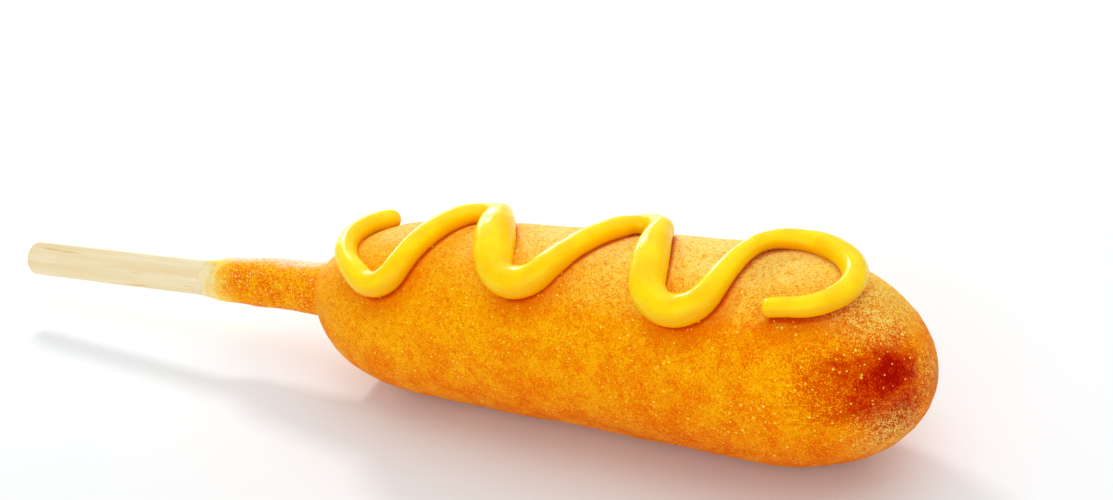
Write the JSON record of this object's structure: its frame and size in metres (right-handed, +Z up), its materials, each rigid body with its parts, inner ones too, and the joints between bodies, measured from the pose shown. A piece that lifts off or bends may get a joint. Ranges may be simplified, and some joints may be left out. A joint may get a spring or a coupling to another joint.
{
  "type": "corn dog",
  "caption": "Battered sausage on a flat wooden stick, lying on its side, with a zigzag bead of mustard piped along the top.",
  "frame": {"origin": "on the surface that the corn dog lies on, below the middle of its whole length", "axes": "+X along the corn dog towards its rounded tip, -Y the front, +Z up"},
  "size_m": [0.2199, 0.0393, 0.043],
  "materials": {
    "crust": "satin",
    "mustard": "gloss",
    "stick_wood": "matte"
  },
  "bodies": {
    "root": {"battered_dog": "crust", "wooden_stick": "stick_wood"}
  },
  "joints": []
}
